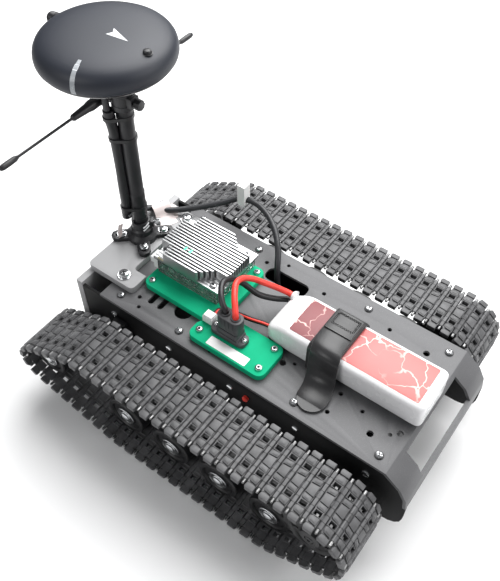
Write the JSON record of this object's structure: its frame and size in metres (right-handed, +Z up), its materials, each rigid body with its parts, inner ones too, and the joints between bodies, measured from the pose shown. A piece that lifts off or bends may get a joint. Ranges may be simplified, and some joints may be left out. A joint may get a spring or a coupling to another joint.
{
  "type": "tracked tank chassis",
  "caption": "Small tracked robot chassis with folded deck, link tracks on sprockets and road wheels, strapped battery, finned controller, power board and a mast-mounted disc receiver.",
  "frame": {"origin": "on the ground, under the middle of the bounding box", "axes": "+Z up, -Y towards the nose (the battery end), +Y towards the mast end, +X towards the vehicle's left side"},
  "size_m": [0.199, 0.2826, 0.239],
  "materials": {
    "deck_paint": "satin dark grey powder coat",
    "black_sheet": "satin black powder coat",
    "bracket": "fine-grained grey printed plastic",
    "track": "moulded matte black nylon",
    "wheel": "moulded black plastic",
    "black_plastic": "satin black plastic",
    "steel": "bright plated steel",
    "aluminium": "clear-anodised aluminium",
    "green_print": "bright green printed plastic",
    "case_clear": "smoky clear plastic over dark electronics",
    "charcoal": "charcoal moulded nylon",
    "white_plastic": "white plastic",
    "battery_wrap": "white heat-shrink film with a red printed panel",
    "webbing": "smooth black webbing",
    "mast_sleeve": "black heat-shrink sleeve",
    "receiver_cover": "matte blue-black moulded plastic",
    "lamp": "frosted translucent plastic",
    "red_wire": "red silicone insulation",
    "black_wire": "black rubber-like insulation"
  },
  "bodies": {
    "chassis": {"deck_plate": "deck_paint", "right_side_plate": "black_sheet", "left_side_plate": "black_sheet", "belly_plate": "black_sheet", "rear_bracket": "bracket", "right_track": "track", "left_track": "track", "right_wheel_beam": "black_plastic", "right_gear_motor": "steel", "right_bracket_screw": "steel", "left_wheel_beam": "black_plastic", "left_gear_motor": "steel", "left_bracket_screw": "steel", "controller_plate": "green_print", "power_plate": "green_print", "controller_case": "case_clear", "heatsink": "aluminium", "power_socket": "charcoal", "power_plug": "charcoal", "balance_plug": "white_plastic", "controller_port": "white_plastic", "cable_flag": "white_plastic", "battery": "battery_wrap", "battery_strap": "webbing", "strap_tail": "webbing", "strap_ring": "black_plastic", "mast_base": "black_plastic", "mast_head": "black_plastic", "receiver_base": "black_plastic", "cable_gland": "black_plastic", "dipole_aerial": "black_plastic", "mast_tube": "mast_sleeve", "receiver_cover": "receiver_cover", "status_light": "lamp", "power_wire_red": "red_wire", "power_wire_black": "black_wire", "balance_lead": "black_wire", "receiver_cable": "black_wire"},
    "right_sprocket": {"right_sprocket": "wheel"},
    "right_idler": {"right_idler": "wheel"},
    "right_return_roller": {"right_return_roller": "wheel"},
    "right_road_wheel_1": {"right_road_wheel_1": "wheel"},
    "right_road_wheel_2": {"right_road_wheel_2": "wheel"},
    "right_road_wheel_3": {"right_road_wheel_3": "wheel"},
    "right_road_wheel_4": {"right_road_wheel_4": "wheel"},
    "left_sprocket": {"left_sprocket": "wheel"},
    "left_idler": {"left_idler": "wheel"},
    "left_return_roller": {"left_return_roller": "wheel"},
    "left_road_wheel_1": {"left_road_wheel_1": "wheel"},
    "left_road_wheel_2": {"left_road_wheel_2": "wheel"},
    "left_road_wheel_3": {"left_road_wheel_3": "wheel"},
    "left_road_wheel_4": {"left_road_wheel_4": "wheel"},
    "select_button": {"select_button": "black_plastic"},
    "mast_clamp_screw": {"mast_clamp_screw": "steel"},
    "head_screw": {"head_screw": "black_plastic"}
  },
  "joints": [
    {"name": "right_sprocket_turn", "type": "hinge", "parent": "chassis", "child": "right_sprocket", "pos_m": [-0.0785, -0.10618, 0.04665], "axis": [1, 0, 0], "continuous": true},
    {"name": "right_idler_turn", "type": "hinge", "parent": "chassis", "child": "right_idler", "pos_m": [-0.0785, 0.10367, 0.0361], "axis": [1, 0, 0], "continuous": true},
    {"name": "right_return_roller_turn", "type": "hinge", "parent": "chassis", "child": "right_return_roller", "pos_m": [-0.0785, 0.06932, 0.059], "axis": [1, 0, 0], "continuous": true},
    {"name": "right_road_wheel_1_turn", "type": "hinge", "parent": "chassis", "child": "right_road_wheel_1", "pos_m": [-0.0785, -0.07388, 0.0195], "axis": [1, 0, 0], "continuous": true},
    {"name": "right_road_wheel_2_turn", "type": "hinge", "parent": "chassis", "child": "right_road_wheel_2", "pos_m": [-0.0785, -0.03568, 0.0195], "axis": [1, 0, 0], "continuous": true},
    {"name": "right_road_wheel_3_turn", "type": "hinge", "parent": "chassis", "child": "right_road_wheel_3", "pos_m": [-0.0785, 0.00252, 0.0195], "axis": [1, 0, 0], "continuous": true},
    {"name": "right_road_wheel_4_turn", "type": "hinge", "parent": "chassis", "child": "right_road_wheel_4", "pos_m": [-0.0785, 0.04072, 0.0195], "axis": [1, 0, 0], "continuous": true},
    {"name": "left_sprocket_turn", "type": "hinge", "parent": "chassis", "child": "left_sprocket", "pos_m": [0.0785, -0.10618, 0.04665], "axis": [1, 0, 0], "continuous": true},
    {"name": "left_idler_turn", "type": "hinge", "parent": "chassis", "child": "left_idler", "pos_m": [0.0785, 0.10367, 0.0361], "axis": [1, 0, 0], "continuous": true},
    {"name": "left_return_roller_turn", "type": "hinge", "parent": "chassis", "child": "left_return_roller", "pos_m": [0.0785, 0.06932, 0.059], "axis": [1, 0, 0], "continuous": true},
    {"name": "left_road_wheel_1_turn", "type": "hinge", "parent": "chassis", "child": "left_road_wheel_1", "pos_m": [0.0785, -0.07388, 0.0195], "axis": [1, 0, 0], "continuous": true},
    {"name": "left_road_wheel_2_turn", "type": "hinge", "parent": "chassis", "child": "left_road_wheel_2", "pos_m": [0.0785, -0.03568, 0.0195], "axis": [1, 0, 0], "continuous": true},
    {"name": "left_road_wheel_3_turn", "type": "hinge", "parent": "chassis", "child": "left_road_wheel_3", "pos_m": [0.0785, 0.00252, 0.0195], "axis": [1, 0, 0], "continuous": true},
    {"name": "left_road_wheel_4_turn", "type": "hinge", "parent": "chassis", "child": "left_road_wheel_4", "pos_m": [0.0785, 0.04072, 0.0195], "axis": [1, 0, 0], "continuous": true},
    {"name": "select_button_press", "type": "slide", "parent": "chassis", "child": "select_button", "axis": [0, 0, -1], "range_m": [0, 0.0007], "stiffness_N_per_m": 300},
    {"name": "mast_clamp_screw_turn", "type": "hinge", "parent": "chassis", "child": "mast_clamp_screw", "pos_m": [0.0024, 0.09472, 0.0956], "axis": [0.6524, -0.7578, 0], "range_deg": [0, 360]},
    {"name": "head_screw_turn", "type": "hinge", "parent": "chassis", "child": "head_screw", "pos_m": [0.0024, 0.09472, 0.196], "axis": [0, -1, 0], "range_deg": [0, 360]}
  ],
  "couplings": [
    {"joint": "right_idler_turn", "follows": "right_sprocket_turn", "ratio": 1.4846},
    {"joint": "right_return_roller_turn", "follows": "right_sprocket_turn", "ratio": 2.029},
    {"joint": "right_road_wheel_1_turn", "follows": "right_sprocket_turn", "ratio": 1.6232},
    {"joint": "right_road_wheel_2_turn", "follows": "right_sprocket_turn", "ratio": 1.6232},
    {"joint": "right_road_wheel_3_turn", "follows": "right_sprocket_turn", "ratio": 1.6232},
    {"joint": "right_road_wheel_4_turn", "follows": "right_sprocket_turn", "ratio": 1.6232},
    {"joint": "left_idler_turn", "follows": "left_sprocket_turn", "ratio": 1.4846},
    {"joint": "left_return_roller_turn", "follows": "left_sprocket_turn", "ratio": 2.029},
    {"joint": "left_road_wheel_1_turn", "follows": "left_sprocket_turn", "ratio": 1.6232},
    {"joint": "left_road_wheel_2_turn", "follows": "left_sprocket_turn", "ratio": 1.6232},
    {"joint": "left_road_wheel_3_turn", "follows": "left_sprocket_turn", "ratio": 1.6232},
    {"joint": "left_road_wheel_4_turn", "follows": "left_sprocket_turn", "ratio": 1.6232}
  ]
}
